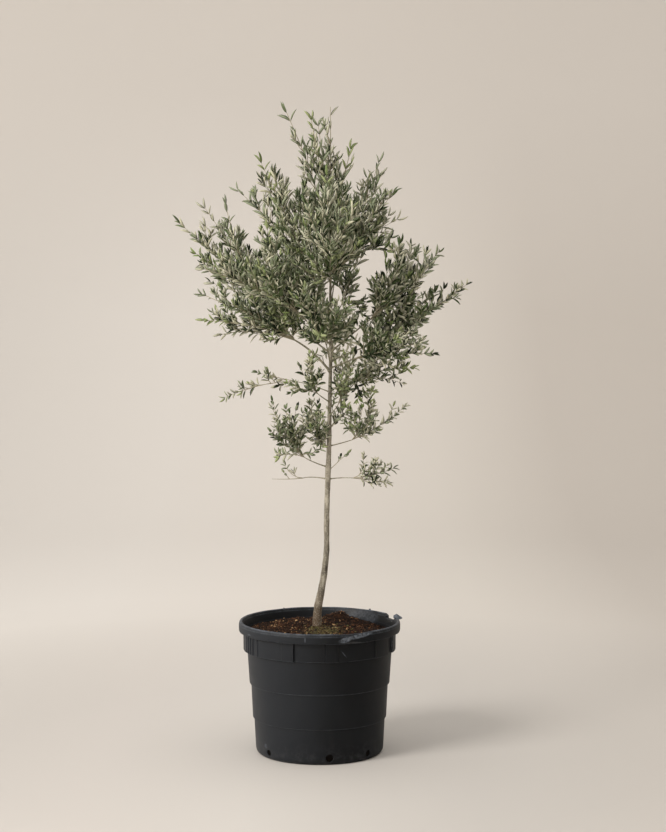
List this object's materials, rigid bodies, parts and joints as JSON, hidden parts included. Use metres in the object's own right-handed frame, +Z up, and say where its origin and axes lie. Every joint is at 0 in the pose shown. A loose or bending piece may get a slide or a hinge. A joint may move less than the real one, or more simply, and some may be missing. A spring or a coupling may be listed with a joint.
{
  "type": "potted olive tree",
  "caption": "Young olive tree with a slim bent trunk and an airy crown of narrow leaves, growing in a round tapered nursery pot with a lipped rim.",
  "frame": {"origin": "middle of the pot's flat underside", "axes": "+Z up; +X to the right and +Y to the back, as the tree is seen from its front"},
  "size_m": [0.8368, 0.588, 1.7927],
  "materials": {
    "pot_plastic": "black moulded plastic, satin, scuffed at the rim",
    "bark_mix": "damp dark bark chips",
    "olive_bark": "thin grey-brown bark, matt",
    "olive_leaf": "leathery grey-green leaves, paler beneath"
  },
  "bodies": {
    "root": {"pot": "pot_plastic", "potting_mix": "bark_mix", "trunk": "olive_bark", "bough_arch": "olive_bark", "bough_back_high": "olive_bark", "bough_back_left": "olive_bark", "bough_back_low": "olive_bark", "bough_centre_left": "olive_bark", "bough_front_high": "olive_bark", "bough_front_low": "olive_bark", "bough_inner_left": "olive_bark", "bough_inner_right": "olive_bark", "bough_left_high": "olive_bark", "bough_left_low": "olive_bark", "bough_left_outer": "olive_bark", "bough_low_left": "olive_bark", "bough_low_right": "olive_bark", "bough_lower_back": "olive_bark", "bough_lower_left": "olive_bark", "bough_lower_right": "olive_bark", "bough_right_far": "olive_bark", "bough_right_inner": "olive_bark", "bough_right_low": "olive_bark", "bough_right_mid": "olive_bark", "bough_right_up": "olive_bark", "bough_top_right": "olive_bark", "bough_upper_left": "olive_bark", "foliage_arch": "olive_leaf", "foliage_back_high": "olive_leaf", "foliage_back_left": "olive_leaf", "foliage_back_low": "olive_leaf", "foliage_centre_left": "olive_leaf", "foliage_front_high": "olive_leaf", "foliage_front_low": "olive_leaf", "foliage_inner_left": "olive_leaf", "foliage_inner_right": "olive_leaf", "foliage_left_high": "olive_leaf", "foliage_left_low": "olive_leaf", "foliage_left_outer": "olive_leaf", "foliage_low_left": "olive_leaf", "foliage_low_right": "olive_leaf", "foliage_lower_back": "olive_leaf", "foliage_lower_left": "olive_leaf", "foliage_lower_right": "olive_leaf", "foliage_right_far": "olive_leaf", "foliage_right_inner": "olive_leaf", "foliage_right_low": "olive_leaf", "foliage_right_mid": "olive_leaf", "foliage_right_up": "olive_leaf", "foliage_side_shoot": "olive_leaf", "foliage_top": "olive_leaf", "foliage_top_right": "olive_leaf", "foliage_twigs_left": "olive_leaf", "foliage_twigs_right": "olive_leaf", "foliage_upper_left": "olive_leaf"}
  },
  "joints": []
}
